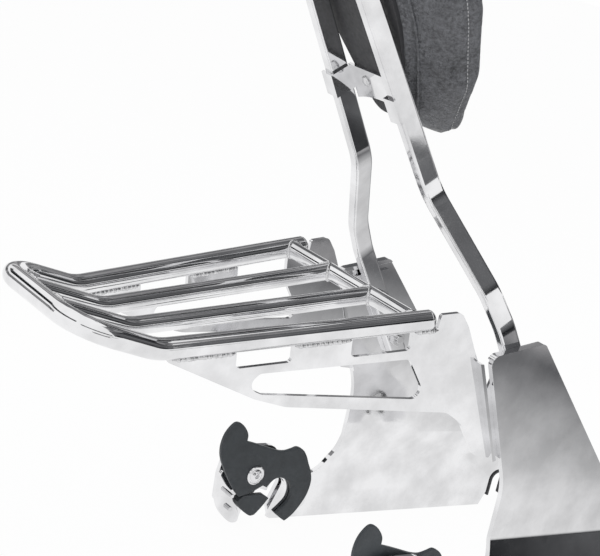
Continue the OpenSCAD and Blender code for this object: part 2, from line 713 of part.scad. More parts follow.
placed() on_side(1) wave_washer();  // wave_washer_left
placed() on_side(-1) pivot_screw();  // pivot_screw_right
placed() on_side(1) pivot_screw();  // pivot_screw_left
placed() on_side(-1) stop_pin();  // stop_pin_right
placed() on_side(1) stop_pin();  // stop_pin_left
placed() on_side(-1) latch_rivets();  // latch_rivets_right
placed() on_side(1) latch_rivets();  // latch_rivets_left
placed() on_side(-1) front_bush();  // front_bush_right
placed() on_side(1) front_bush();  // front_bush_left
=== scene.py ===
"""Detachable motorcycle backrest with luggage rack: its looks, stage and camera.

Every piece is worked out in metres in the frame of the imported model: +X forward on the
motorcycle, +Y to its left, +Z up, with the origin on the rear docking axis.
"""

import math

import bmesh
import bpy
import numpy as np
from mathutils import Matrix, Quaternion, Vector
from mathutils.bvhtree import BVHTree


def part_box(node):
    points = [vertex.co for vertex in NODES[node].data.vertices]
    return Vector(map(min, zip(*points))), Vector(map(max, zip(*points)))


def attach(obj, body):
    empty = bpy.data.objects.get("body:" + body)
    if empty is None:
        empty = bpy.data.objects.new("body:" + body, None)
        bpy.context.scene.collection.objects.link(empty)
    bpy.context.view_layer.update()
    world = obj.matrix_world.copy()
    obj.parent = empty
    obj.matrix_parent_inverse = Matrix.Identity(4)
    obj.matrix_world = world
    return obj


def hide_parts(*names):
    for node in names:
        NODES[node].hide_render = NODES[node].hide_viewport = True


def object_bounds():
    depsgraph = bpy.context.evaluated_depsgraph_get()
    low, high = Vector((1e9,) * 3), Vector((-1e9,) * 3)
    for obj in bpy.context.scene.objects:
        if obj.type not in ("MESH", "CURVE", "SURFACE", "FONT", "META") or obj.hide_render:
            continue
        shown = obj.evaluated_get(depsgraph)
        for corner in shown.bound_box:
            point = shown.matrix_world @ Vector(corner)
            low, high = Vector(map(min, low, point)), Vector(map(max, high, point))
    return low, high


bl_info = {
    "name": "Motorcycle backrest with luggage rack",
    "version": (1, 0, 0),
    "blender": (4, 5, 0),
    "location": "3D View > Sidebar > Backrest",
    "description": "Builds a chromed backrest with a padded rest, a tubular rack and docking latches",
    "category": "Add Mesh",
}

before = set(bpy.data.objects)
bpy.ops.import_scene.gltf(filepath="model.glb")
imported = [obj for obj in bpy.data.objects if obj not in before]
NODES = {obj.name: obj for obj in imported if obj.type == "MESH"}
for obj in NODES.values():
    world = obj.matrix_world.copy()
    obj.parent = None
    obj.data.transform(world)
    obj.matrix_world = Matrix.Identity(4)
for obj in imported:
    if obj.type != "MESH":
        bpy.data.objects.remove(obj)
CAD_BOX = [list(v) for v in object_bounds()]
MM = 0.001

# The rear docking seat, forward and up from the lower edge of the side plates in mm, is the origin
SEAT_XZ = [64, 50]
SEAT = np.array([64.0, 0.0, 50.0]) * MM
BAR_ORIGIN = np.array([-3.5, 0.0, 504.0]) * MM - SEAT
BAR_LEAN = math.radians(35.5)
BAR_WIDE, BAR_THICK = 22.2, 12.7
# Half of the bar's centre line in its own plane, in mm: left, and up along the bar
BAR_HALF = [(128.1, -332), (128.1, -177), (119.1, -135), (62, -25), (40, 352)]
BAR_BEND, ARCH_BEND = 80, 37
# How far along a foot's half round its rings lie, as a share of its radius
FOOT_ROUND = np.array([1.0, 0.9, 0.6, 0.0])
RACK_ORIGIN = np.array([0.0, 0.0, 362.0]) * MM - SEAT
RACK_PITCH = math.radians(8.9)
# The rack in its own frame, in mm: half widths in front and behind, length, upswept end, tubes
RACK_FRONT, RACK_REAR, RACK_LONG = 118.5, 88.5, 302
RACK_TAPER = math.atan((RACK_FRONT - RACK_REAR) / RACK_LONG)
SWEEP_LONG, SWEEP_ANGLE = 90, math.radians(22)
OUTER_R, INNER_R = 11.1, 9.5
INNER_Y, CROSS_X, CROSS_HALF = 37.6, -16, 112
# Half width of the outer tube at the cross tube, and where the gussets meet it: down, and to
# either side of its middle
JOINT_Y, GUSSET_DOWN, GUSSET_SIDE = 116.9, 10.9, 4.4
GUSSET_WELDS = ((-288, -222), (-156, -92), (-17, 11))
RING_POINTS, BEAD_SIDES, TUBE_SIDES = 96, 12, 40


def tilted(points, origin, angle):
    """Points (x, y, z) turned about Y so that +Z leans back by the angle, then moved:
    origin + x (cos a, 0, sin a) + y (0, 1, 0) + z (-sin a, 0, cos a)."""
    p = np.asarray(points, float)
    c, s = math.cos(angle), math.sin(angle)
    turned = np.stack([p[..., 0] * c - p[..., 2] * s, p[..., 1], p[..., 0] * s + p[..., 2] * c], -1)
    return turned + origin


def on_bar(points):
    """From the bar's own frame in mm (forward, left, up along the bar) to the model's frame."""
    return tilted(np.asarray(points, float) * MM, BAR_ORIGIN, BAR_LEAN)


def on_rack(points):
    """From the rack's own frame in mm (forward, left, up from its plane) to the model's frame."""
    return tilted(np.asarray(points, float) * MM, RACK_ORIGIN, RACK_PITCH)


def unit(v):
    """v divided by its length."""
    v = np.asarray(v, float)
    return v / np.maximum(np.linalg.norm(v, axis=-1, keepdims=True), 1e-12)


def filleted(points, radii, closed=False, step=3.0):
    """The polyline with each corner replaced by an arc: with half the corner's angle h, the
    arc starts r / tan h along each leg and its centre lies r / sin h along the bisector."""
    p = [np.asarray(q, float) for q in points]
    n = len(p)
    out = []
    for i in range(n):
        if radii[i] <= 0 or (not closed and i in (0, n - 1)):
            out.append(p[i][None])
            continue
        a, c = unit(p[i - 1] - p[i]), unit(p[(i + 1) % n] - p[i])
        half = math.acos(float(np.clip(a @ c, -1, 1))) / 2
        centre = p[i] + unit(a + c) * radii[i] / math.sin(half)
        x = p[i] + a * radii[i] / math.tan(half) - centre
        turn = math.pi - 2 * half
        y = unit(c - (c @ unit(x)) * unit(x)) * np.linalg.norm(x)
        t = np.linspace(0, turn, max(3, int(math.degrees(turn) / step) + 1))[:, None]
        out.append(centre + np.cos(t) * x + np.sin(t) * y)
    return np.concatenate(out)


def evenly(path, count, closed=False):
    """The path taken at equal steps of its own length, by linear interpolation."""
    p = np.concatenate([path, path[:1]]) if closed else path
    s = np.concatenate([[0], np.cumsum(np.linalg.norm(np.diff(p, axis=0), axis=1))])
    at = np.linspace(0, s[-1], count, endpoint=not closed)
    return np.stack([np.interp(at, s, p[:, k]) for k in range(p.shape[1])], -1)


def grid_faces(rows, columns, close_rows=False, close_columns=True):
    """Quads between neighbouring points of a rows by columns grid, numbered row by row."""
    i = np.arange(rows if close_rows else rows - 1)[:, None]
    j = np.arange(columns if close_columns else columns - 1)[None]
    i2, j2 = (i + 1) % rows, (j + 1) % columns
    corners = [i * columns + j, i * columns + j2, i2 * columns + j2, i2 * columns + j]
    return np.stack(corners, -1).reshape(-1, 4)


def new_piece(name, verts, quads, material, body="frame", slot=None, replaced=(), extra=()):
    """Puts arrays of points and quads, and a list of extra faces, into a smooth-shaded mesh."""
    mesh = bpy.data.meshes.new(name)
    faces = np.asarray(quads).tolist() + [list(f) for f in extra]
    mesh.from_pydata(np.asarray(verts).reshape(-1, 3).tolist(), [], faces)
    mesh.validate()
    # The extra faces close flat ends: kept flat, they don't tilt the shading beside them
    smooth = np.arange(len(mesh.polygons)) < len(mesh.polygons) - len(extra)
    mesh.polygons.foreach_set("use_smooth", smooth)
    mesh.materials.append(material)
    piece = bpy.data.objects.new(name, mesh)
    bpy.context.scene.collection.objects.link(piece)
    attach(piece, body)
    if replaced:
        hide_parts(*replaced)
    return piece


def swept(path, profile, up, scale=None, closed=False):
    """A profile (across, up) carried along a path: point = path + across * B + up * N, where
    T is the path's direction, N is the given up vector made square to T, and B = N x T."""
    path = np.asarray(path, float)
    if closed:
        tangent = unit(np.roll(path, -1, 0) - np.roll(path, 1, 0))
    else:
        tangent = unit(np.gradient(path, axis=0))
    up = np.broadcast_to(np.asarray(up, float), path.shape)
    normal = unit(up - (up * tangent).sum(1, keepdims=True) * tangent)
    across = np.cross(normal, tangent)
    size = np.ones(len(path)) if scale is None else scale
    q = profile[None] * size[:, None, None]
    return path[:, None] + q[..., :1] * across[:, None] + q[..., 1:] * normal[:, None]


def circle(radius, count):
    """radius (cos t, sin t), running round so that a swept tube's faces point outwards."""
    t = np.linspace(0, 2 * math.pi, count, endpoint=False)
    return np.stack([np.cos(t), -np.sin(t)], -1) * radius


def rounded_bar(width, depth, edge, steps=6):
    """The outline of a rectangle whose corners are quarter circles of radius edge."""
    t = np.linspace(0, math.pi / 2, steps)
    corners = []
    for k, (sx, sy) in enumerate([(1, 1), (-1, 1), (-1, -1), (1, -1)]):
        a = t + k * math.pi / 2
        arc = np.stack([edge * np.cos(a), edge * np.sin(a)], -1)
        arc += [sx * (width / 2 - edge), sy * (depth / 2 - edge)]
        # A close pair of points on each flat keeps its shading flat
        before = arc[0] - 0.35 * np.array([-np.sin(a[0]), np.cos(a[0])])
        after = arc[-1] + 0.35 * np.array([-np.sin(a[-1]), np.cos(a[-1])])
        corners.append(np.concatenate([before[None], arc, after[None]]))
    return np.concatenate(corners)[::-1]


def tube(name, path, radius, material, closed=False, **kw):
    """A round tube along a path, with its ends closed by flat discs. A ring close to each end
    keeps the disc from tilting the shading along the tube."""
    if not closed:
        first, last = unit(path[1] - path[0]) * 0.4 * MM, unit(path[-2] - path[-1]) * 0.4 * MM
        path = np.concatenate([path[:1], [path[0] + first], path[1:-1], [path[-1] + last], path[-1:]])
    n, count = len(path), TUBE_SIDES
    rings = swept(path, circle(radius, count), (0, 0, 1), closed=closed)
    ends = [] if closed else [range(count)[::-1], range((n - 1) * count, n * count)]
    return new_piece(name, rings, grid_faces(n, count, closed)[:, ::-1], material, extra=ends, **kw)


def bead_points(path, radius, up, ripple=0.16, pitch=2.6, closed=False):
    """A weld bead: a tube whose radius swells along its length s as
    r (1 + ripple (|sin(pi s / pitch)| - 1/2)), with two slower waves, thinner towards open ends."""
    s = np.concatenate([[0], np.cumsum(np.linalg.norm(np.diff(path, axis=0), axis=1))])
    swell = 1 + ripple * (np.abs(np.sin(math.pi * s / (pitch * MM))) - 0.5)
    swell *= 1 + 0.12 * np.sin(s * 410.0) + 0.08 * np.sin(s * 1130.0 + 1)
    if not closed:
        ends = np.minimum(s, s[-1] - s) / (2.5 * radius)
        swell *= np.sqrt(np.clip(ends, 0.04, 1))
    return swept(path, circle(radius, BEAD_SIDES), up, swell, closed)


def joined(parts):
    """Several (points, faces) pairs as one pair, with the faces numbered on."""
    points, faces, start = [], [], 0
    for p, f in parts:
        p = np.asarray(p).reshape(-1, 3)
        points.append(p)
        faces.append(np.asarray(f) + start)
        start += len(p)
    return np.concatenate(points), np.concatenate(faces)


# Materials


class Nodes:
    """A short way to lay out shader nodes."""

    def __init__(self, name):
        self.material = bpy.data.materials.new(name)
        self.material.use_nodes = True
        self.tree = self.material.node_tree
        self.shader = next(n for n in self.tree.nodes if n.type == "BSDF_PRINCIPLED")
        self.where = self.add("ShaderNodeTexCoord").outputs["Object"]

    def add(self, kind, **values):
        node = self.tree.nodes.new(kind)
        for key, value in values.items():
            if hasattr(node, key):
                setattr(node, key, value)
            else:
                node.inputs[key.replace("_", " ")].default_value = value
        return node

    def link(self, a, b):
        self.tree.links.new(a, b)

    def toned(self, value, colour, dark, light):
        """The base colour, from dark to light times the colour."""
        tint = self.mixed(value, [c * dark for c in colour], [c * light for c in colour])
        self.link(tint, self.shader.inputs["Base Color"])

    def set(self, **values):
        for key, value in values.items():
            self.shader.inputs[key.replace("_", " ")].default_value = value

    def noise(self, scale, detail=3.0, roughness=0.5):
        n = self.add("ShaderNodeTexNoise", Scale=scale, Detail=detail, Roughness=roughness)
        self.link(self.where, n.inputs["Vector"])
        return n.outputs["Fac"]

    def ranged(self, value, low, high, start=0.3, end=0.7):
        """value moved from start..end to low..high."""
        n = self.add("ShaderNodeMapRange")
        for key, v in (("From Min", start), ("From Max", end), ("To Min", low), ("To Max", high)):
            n.inputs[key].default_value = v
        self.link(value, n.inputs["Value"])
        return n.outputs["Result"]

    def mixed(self, value, dark, light):
        """A colour between dark and light."""
        n = self.add("ShaderNodeMix", data_type="RGBA")
        self.link(value, n.inputs[0])
        n.inputs[6].default_value = (*dark, 1)
        n.inputs[7].default_value = (*light, 1)
        return n.outputs[2]

    def bump(self, height, distance, strength=1.0, below=None):
        n = self.add("ShaderNodeBump", Distance=distance, Strength=strength)
        self.link(height, n.inputs["Height"])
        if below is not None:
            self.link(below, n.inputs["Normal"])
        return n.outputs["Normal"]


def polished_chrome(name, colour, roughness=0.045, wave=0.00010):
    """Plated steel: nearly mirror-smooth, faintly uneven under the plating and lightly smudged."""
    m = Nodes(name)
    m.set(Metallic=1.0)
    m.toned(m.ranged(m.noise(21.0, 4.0, 0.55), 0, 1, 0.36, 0.64), colour, 0.86, 1.06)
    m.link(m.ranged(m.noise(70.0, 4.0, 0.6), roughness * 0.7, roughness * 1.9), m.shader.inputs["Roughness"])
    slow = m.bump(m.noise(16.0, 2.0), wave)
    m.link(m.bump(m.noise(900.0, 2.0), 0.000004, 1.0, slow), m.shader.inputs["Normal"])
    return m.material


def plated_weld(name, colour):
    """A weld bead under chrome: bright, rippled and slightly rough."""
    m = Nodes(name)
    m.set(Metallic=1.0)
    m.toned(m.ranged(m.noise(240.0, 3.0), 0, 1), colour, 0.72, 1)
    m.link(m.ranged(m.noise(400.0, 3.0), 0.1, 0.3), m.shader.inputs["Roughness"])
    m.link(m.bump(m.noise(520.0, 3.0), 0.0005), m.shader.inputs["Normal"])
    return m.material


def powder_coat(name, colour, roughness=0.46):
    """Baked powder coat: fine orange peel, a little paler where hands rub it."""
    m = Nodes(name)
    m.toned(m.ranged(m.noise(38.0, 5.0, 0.6), 0, 1), colour, 0.8, 1.25)
    m.link(m.ranged(m.noise(160.0, 3.0), roughness * 0.85, roughness * 1.2), m.shader.inputs["Roughness"])
    peel = m.bump(m.noise(1500.0, 2.0), 0.00009)
    m.link(m.bump(m.noise(420.0, 2.0), 0.00012, 1.0, peel), m.shader.inputs["Normal"])
    return m.material


def moulded_plastic(name, colour, roughness=0.5):
    """Moulded plastic with a fine spark texture."""
    m = Nodes(name)
    m.toned(m.ranged(m.noise(30.0, 3.0), 0, 1), colour, 0.85, 1.15)
    m.link(m.ranged(m.noise(220.0, 3.0), roughness * 0.85, roughness * 1.15), m.shader.inputs["Roughness"])
    m.link(m.bump(m.noise(2200.0, 2.0), 0.00006), m.shader.inputs["Normal"])
    return m.material


def grained_vinyl(name, colour):
    """Upholstery vinyl: pebbled grain of small cells, fine creases that catch the light, soft folds, a low
    uneven sheen, and a colour of random blotches with fine pale speckles that are painted highlights of the
    grain."""
    m = Nodes(name)
    warp = m.add("ShaderNodeMixRGB", blend_type="ADD")
    warp.inputs[0].default_value = 0.005
    swirl = m.add("ShaderNodeTexNoise", Scale=110.0, Detail=2.0)
    m.link(m.where, swirl.inputs["Vector"])
    m.link(m.where, warp.inputs[1])
    m.link(swirl.outputs["Color"], warp.inputs[2])
    cells = m.add("ShaderNodeTexVoronoi", feature="DISTANCE_TO_EDGE", Scale=520.0, Randomness=1.0)
    m.link(warp.outputs[0], cells.inputs["Vector"])
    pebble = m.ranged(cells.outputs["Distance"], 0, 1, 0.0, 0.16)
    creases = m.add("ShaderNodeTexVoronoi", feature="DISTANCE_TO_EDGE", Scale=150.0, Randomness=1.0)
    m.link(warp.outputs[0], creases.inputs["Vector"])
    crease = m.ranged(creases.outputs["Distance"], 0, 1, 0.0, 0.1)
    folds = m.add("ShaderNodeTexNoise", Scale=26.0, Detail=6.0, Roughness=0.6, Distortion=1.8)
    m.link(m.where, folds.inputs["Vector"])
    # Colour: slow random blotches, plus fine pale speckles that are painted highlights of the grain
    fine = m.noise(230.0, 5.0, 0.75)
    blotches_and_painted_glints = m.add("ShaderNodeMath", operation="ADD")
    m.link(m.ranged(m.noise(12.0, 4.0, 0.6), 0, 0.55), blotches_and_painted_glints.inputs[0])
    m.link(m.ranged(fine, 0, 0.85, 0.38, 0.66), blotches_and_painted_glints.inputs[1])
    m.toned(blotches_and_painted_glints.outputs[0], colour, 0.25, 1.95)
    m.link(m.ranged(m.noise(60.0, 4.0), 0.26, 0.48), m.shader.inputs["Roughness"])
    low = m.bump(m.ranged(folds.outputs["Fac"], 0, 1, 0.4, 0.56), 0.0011, 0.8)
    mid = m.bump(m.noise(110.0, 5.0, 0.65), 0.0024, 0.9, low)
    net = m.bump(crease, 0.0005, 0.55, mid)
    m.link(m.bump(pebble, 0.0003, 0.8, net), m.shader.inputs["Normal"])
    return m.material


def twisted_thread(name, colour):
    """Sewing thread: fine twisted strands, with painted shade darkening the grooves between them."""
    m = Nodes(name)
    wave = m.add("ShaderNodeTexWave", Scale=1400.0, Distortion=2.0)
    m.link(m.where, wave.inputs["Vector"])
    # Painted shade: the colour darkens where the wave's bump sinks between the strands
    m.toned(wave.outputs["Fac"], colour, 0.7, 1)
    m.set(Roughness=0.75)
    m.link(m.bump(wave.outputs["Fac"], 0.0001), m.shader.inputs["Normal"])
    return m.material


# What a user may change


def number(name, description, default, low, high):
    return bpy.props.FloatProperty(name=name, description=description, default=default, min=low, max=high)


def colour_of(name, description, default):
    return bpy.props.FloatVectorProperty(name=name, description=description, subtype="COLOR", default=default)


class BackrestSizes(bpy.types.PropertyGroup):
    bar_edge: number("Bar edge", "Rounding along the edges of the flat bar, in mm", 2.4, 0.5, 5)
    plate_edge: number("Plate edge", "Rounding along the edges of the plates, in mm", 1.5, 0.2, 2.5)
    lever_edge: number("Lever edge", "Rounding along the edges of the latch levers, in mm", 0.9, 0.2, 2)
    bead: number("Weld bead", "Radius of the weld beads, in mm", 2.2, 1, 4)
    stitch_pitch: number("Stitch pitch", "Distance from stitch to stitch, in mm", 5.2, 3, 9)
    stitch_length: number("Stitch length", "Visible length of one stitch, in mm", 3.6, 2, 7)
    pad_crown: number("Pad crown", "How far the front of the pad bulges, in mm", 7, 2, 12)
    seam_depth: number("Seam depth", "Depth of the sewn seams, in mm", 2.2, 0, 5)


class BackrestFinishes(bpy.types.PropertyGroup):
    chrome: colour_of("Chrome", "Colour of the plated steel", (0.80, 0.80, 0.81))
    coat: colour_of("Powder coat", "Colour of the coated latch pieces", (0.036, 0.042, 0.047))
    vinyl: colour_of("Vinyl", "Colour of the pad's cover", (0.085, 0.087, 0.093))
    thread: colour_of("Thread", "Colour of the stitching", (0.68, 0.68, 0.68))
    plastic: colour_of("Plastic", "Colour of the board and the bushes", (0.03, 0.03, 0.033))


class BackrestLight(bpy.types.PropertyGroup):
    key: number("Key lamp", "Power of the large lamp overhead, in watts", 26.0, 0, 200)
    fill: number("Fill lamp", "Power of the lamp beside the camera, in watts", 9.0, 0, 200)
    surround: number("Surround", "Strength of the pale surroundings", 0.62, 0, 2)


def sizes():
    return bpy.context.scene.backrest_sizes


FINISH = {}


def finish_of(kind):
    """Each finish is made once, from the panel's colours."""
    if not FINISH:
        c = bpy.context.scene.backrest_finishes
        FINISH["chrome"] = polished_chrome("polished chrome", c.chrome)
        FINISH["hardware"] = polished_chrome("plated fasteners", [x * 0.92 for x in c.chrome], 0.09, 0.00004)
        FINISH["weld"] = plated_weld("plated weld", c.chrome)
        FINISH["coat"] = powder_coat("black powder coat", c.coat)
        FINISH["vinyl"] = grained_vinyl("grained vinyl", c.vinyl)
        FINISH["thread"] = twisted_thread("grey thread", c.thread)
        FINISH["plastic"] = moulded_plastic("moulded plastic", c.plastic)
    return FINISH[kind]


def flat_sides(thing):
    """Takes the shading of each corner from its largest face, so that flat sides mirror flatly."""
    shading = thing.modifiers.new("flat sides", "WEIGHTED_NORMAL")
    shading.mode = "FACE_AREA"
    shading.weight = 100
    shading.keep_sharp = True


def dressed(node, kind, edge):
    """Gives a CAD node its finish and rounds its sharp edges by a bevel of the given width."""
    thing = NODES[node]
    thing.data.materials.clear()
    thing.data.materials.append(finish_of(kind))
    thing.data.polygons.foreach_set("use_smooth", np.ones(len(thing.data.polygons), bool))
    weld = thing.modifiers.new("weld", "WELD")
    weld.merge_threshold = 0.00002
    flat = thing.modifiers.new("flatten", "DECIMATE")
    flat.decimate_type = "DISSOLVE"
    flat.angle_limit = math.radians(0.6)
    bevel = thing.modifiers.new("edge", "BEVEL")
    bevel.width = edge * MM
    bevel.segments = 3
    bevel.limit_method = "ANGLE"
    bevel.angle_limit = math.radians(38)
    bevel.use_clamp_overlap = True
    flat_sides(thing)


def curved(points, corners=(), steps=8):
    """A closed smooth line through the points: on each span a cubic whose end slopes are half
    the step from the point before to the point after. A point listed in corners stays sharp."""
    p = np.asarray(points, float)
    n = len(p)
    slope = (np.roll(p, -1, 0) - np.roll(p, 1, 0)) / 2
    leave, arrive = slope.copy(), slope.copy()
    for k in corners:
        leave[k] = (p[(k + 1) % n] - p[k]) * 0.8
        arrive[k] = (p[k] - p[k - 1]) * 0.8
    t = np.linspace(0, 1, steps, endpoint=False)[None, :, None]
    a, b = p[:, None], np.roll(p, -1, 0)[:, None]
    u, v = leave[:, None], np.roll(arrive, -1, 0)[:, None]
    starts = (2 * t**3 - 3 * t**2 + 1) * a + (t**3 - 2 * t**2 + t) * u
    ends = (3 * t**2 - 2 * t**3) * b + (t**3 - t**2) * v
    return (starts + ends).reshape(-1, 2)


def cut_plate(name, node, outlines, way, edge, kind, body):
    """A flat plate as thick as its CAD node, cut to outlines with holes, with rounded edges: a
    flat curve is filled, thickened and bevelled, made a mesh, and its points (x, z, depth) are
    laid out as (x, way * depth, z)."""
    low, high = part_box(node)
    near, far = sorted((abs(low[1]), abs(high[1])))
    curve = bpy.data.curves.new(name, "CURVE")
    curve.dimensions = "2D"
    curve.fill_mode = "BOTH"
    curve.extrude = (far - near) / 2 - edge
    curve.bevel_depth = edge
    curve.bevel_resolution = 2
    curve.offset = -edge
    for outline in outlines:
        spline = curve.splines.new("POLY")
        spline.points.add(len(outline) - 1)
        flat, one = np.zeros((len(outline), 1)), np.ones((len(outline), 1))
        spline.points.foreach_set("co", np.concatenate([outline, flat, one], 1).ravel())
        spline.use_cyclic_u = True
    shape = bpy.data.objects.new(name + "_outline", curve)
    bpy.context.scene.collection.objects.link(shape)
    mesh = bpy.data.meshes.new_from_object(shape.evaluated_get(bpy.context.evaluated_depsgraph_get()))
    bpy.data.objects.remove(shape)
    bpy.data.curves.remove(curve)
    p = coordinates(mesh)
    laid = np.stack([p[:, 0], p[:, 2] + (near + far) / 2, p[:, 1]], -1) * [1, way, 1]
    mesh.vertices.foreach_set("co", laid.astype(np.float32).ravel())
    work = bmesh.new()
    work.from_mesh(mesh)
    bmesh.ops.remove_doubles(work, verts=work.verts, dist=0.00001)
    bmesh.ops.recalc_face_normals(work, faces=work.faces)
    work.to_mesh(mesh)
    work.free()
    mesh.materials.clear()
    mesh.materials.append(finish_of(kind))
    mesh.polygons.foreach_set("use_smooth", np.ones(len(mesh.polygons), bool))
    mesh.set_sharp_from_angle(angle=math.radians(35))
    piece = bpy.data.objects.new(name, mesh)
    bpy.context.scene.collection.objects.link(piece)
    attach(piece, body)
    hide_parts(node)
    flat_sides(piece)


class Piece(bpy.types.Operator):
    """A step of the building"""

    bl_options = {"REGISTER", "UNDO"}

    def execute(self, context):
        self.make(context)
        return {"FINISHED"}


class BACKREST_OT_bar(Piece):
    """The flat chromed bar, bent into an arch with splayed feet"""

    bl_idname = "backrest.bar"
    bl_label = "Backrest bar"

    def make(self, context):
        pts = [(0, y, v) for y, v in BAR_HALF] + [(0, -y, v) for y, v in BAR_HALF[::-1]]
        radii = [0, *[BAR_BEND] * 3, ARCH_BEND]
        path = filleted(pts, radii + radii[::-1], step=1.5)
        reach = BAR_WIDE / 2 * FOOT_ROUND[:, None]
        lead = path[0] + unit(path[0] - path[1]) * reach
        tail = path[-1] + unit(path[-1] - path[-2]) * reach[::-1]
        path = on_bar(np.concatenate([lead[:-1], path, tail[1:]]))
        outline = rounded_bar(BAR_WIDE, BAR_THICK, sizes().bar_edge)
        forward = unit(on_bar([[1, 0, 0]])[0] - on_bar([[0, 0, 0]])[0])
        rings = swept(path, outline[:, ::-1] * MM, forward)
        # The feet end in half rounds, seen from the side
        narrow = np.sqrt(np.clip(1 - FOOT_ROUND**2, 0.0004, 1))
        shrink = np.ones(len(path))
        shrink[:4], shrink[-4:] = narrow, narrow[::-1]
        off = (rings - path[:, None]) @ forward
        rings = rings + ((shrink[:, None] - 1) * off)[..., None] * forward
        n, m = len(path), len(outline)
        new_piece("flat_bar", rings, grid_faces(n, m), finish_of("chrome"), slot="chrome",
                  replaced=["sissy_bar"], extra=[range(m), range((n - 1) * m, n * m)[::-1]])


def rack_paths():
    """Centre lines of the outer and an inner rack tube in the rack's frame, in mm, and where
    their upswept rear ends are."""
    run, rise = SWEEP_LONG * math.cos(SWEEP_ANGLE), SWEEP_LONG * math.sin(SWEEP_ANGLE)
    rear_x = -RACK_LONG - run
    rear_half = RACK_REAR - run * math.tan(RACK_TAPER) * 0.3
    half = [(0, RACK_FRONT, 0), (-RACK_LONG, RACK_REAR, 0), (rear_x, rear_half, rise)]
    pts = half + [(x, -y, z) for x, y, z in half[::-1]]
    hoop = filleted(pts, [0, 60, 44, 44, 60, 0], step=2.0)
    inner_rear = 38 * RACK_REAR / RACK_FRONT
    pts = [(-20, INNER_Y, 0), (-RACK_LONG, inner_rear, 0), (rear_x, inner_rear * rear_half / RACK_REAR, rise)]
    return hoop, filleted(pts, [0, 60, 0], step=2.0), (rear_x, rise)


def mirrored(points):
    return np.asarray(points) * [1, -1, 1]


class BACKREST_OT_rack(Piece):
    """The bent outer tube, two inner tubes and the cross tube of the rack"""

    bl_idname = "backrest.rack"
    bl_label = "Rack tubes"

    def make(self, context):
        hoop, inner, _ = rack_paths()
        chrome = finish_of("chrome")
        cross = [(CROSS_X, y, 0) for y in (-CROSS_HALF, 0, CROSS_HALF)]
        for name, path, radius, node in (
            ("outer_tube", hoop, OUTER_R, "rack_hoop"),
            ("inner_tube_left", inner, INNER_R, "rack_tube_left"),
            ("inner_tube_right", mirrored(inner), INNER_R, "rack_tube_right"),
            ("cross_tube", cross, INNER_R, "rack_cross_tube"),
        ):
            tube(name, on_rack(path), radius * MM, chrome, slot="chrome", replaced=[node])
        for side in ("right", "left"):
            dressed("rack_cap_" + side, "chrome", 0.3)


class BACKREST_OT_welds(Piece):
    """Weld beads round the tube joints and along the gussets"""

    bl_idname = "backrest.welds"
    bl_label = "Weld beads"

    def make(self, context):
        r = sizes().bead
        parts = []
        forward = unit(on_rack([[1, 0, 0]])[0] - on_rack([[0, 0, 0]])[0])
        t = np.linspace(0, 2 * math.pi, RING_POINTS, endpoint=False)

        def bead(path, radius, up, closed):
            points = bead_points(on_rack(path), radius * MM, up, closed=closed)
            parts.append((points, grid_faces(len(path), BEAD_SIDES, closed)))

        def ring(x, y, z, way, into):
            # An inner tube meets a tube of radius R along Y where x = sqrt(R^2 - (r sin t)^2)
            up, high = INNER_R * np.cos(t), INNER_R * np.sin(t)
            out = np.sqrt(np.maximum(into**2 - high**2, 0)) * way
            bead(np.stack([x + out, y + up, z + high], -1), r * 0.8, forward, True)

        _, inner, (rear_x, rise) = rack_paths()
        for s in (-1, 1):
            ring(CROSS_X, s * INNER_Y, 0, -1, INNER_R)
            ring(rear_x, s * inner[-1][1], rise, 1, OUTER_R)
            # Cross tube into the outer tube
            x, z = INNER_R * np.cos(t), INNER_R * np.sin(t)
            y = s * (JOINT_Y - np.sqrt(np.maximum(OUTER_R**2 - z**2, 0)))
            bead(np.stack([CROSS_X + x, y + s * x * 0.1, z], -1), r * 0.85, (0, 1, 0), True)
            # Beads on both sides of each gusset, under the outer tube
            for a, b in GUSSET_WELDS:
                for face in (-1, 1):
                    x = np.linspace(a, b, int((b - a) * 1.6))
                    y = s * (RACK_FRONT + x * math.tan(RACK_TAPER) + face * GUSSET_SIDE)
                    z = np.full_like(x, -GUSSET_DOWN)
                    bead(np.stack([x, y, z], -1), r * 1.15, (0, 0, 1), False)
        points, faces = joined(parts)
        new_piece("weld_beads", points, faces[:, ::-1], finish_of("weld"), slot="chrome")


class BACKREST_OT_plates(Piece):
    """Side plates, rack gussets, pad bracket and board: rounded edges and finish"""

    bl_idname = "backrest.plates"
    bl_label = "Plates"

    def make(self, context):
        for side in ("right", "left"):
            dressed("side_plate_" + side, "chrome", sizes().plate_edge)
            dressed("gusset_" + side, "chrome", 0.8)
        dressed("pad_bracket", "chrome", 0.7)
        dressed("pad_board", "plastic", 1.5)


# Outlines of the latch's plates in mm: forward, and up from the side plate's lower edge
LEVER = [(-22.5, 136.2), (-14, 136.8), (-5.5, 130.5), (0.3, 122), (1.2, 113.2), (16, 109.4),
         (32, 104.8), (48, 100.2), (60, 98.6), (70, 100.8), (78.6, 103.2), (88, 99.2), (95, 91.5),
         (101, 81), (107.5, 69.9), (111.5, 57), (110.5, 42), (106, 30), (98.7, 17.6), (92, 10),
         (84.9, 4.6), (77, 9.2), (68.8, 15.6), (76.4, 23.3), (82.5, 31), (84.6, 39), (83.6, 47.3),
         (79, 55.2), (71.4, 61), (62, 63.6), (55, 61.8), (49.8, 57), (45.8, 51.3), (39.5, 54),
         (24, 46), (8, 40.8), (0, 48), (-11, 61.5), (-22, 77), (-31, 93), (-34.2, 108), (-31.5, 124)]
LEVER_CORNERS = (4, 20, 22, 32, 33, 35)
HOUSING = [(-15, 70), (-17.8, 57), (-17.8, 42), (-14.4, 29), (-6.2, 16), (4.7, 6), (13.3, 1.2),
           (20.6, 1.3), (23, 6), (21, 14), (16, 22), (24, 34), (40, 43), (52, 48), (60, 58), (72, 61),
           (83, 54), (87, 42), (80, 27), (70.6, 13), (82, 4), (96, 12), (111, 28), (117, 46),
           (114, 62), (104, 73), (60, 74), (8, 74)]
HOUSING_CORNERS = (10, 19, 27)
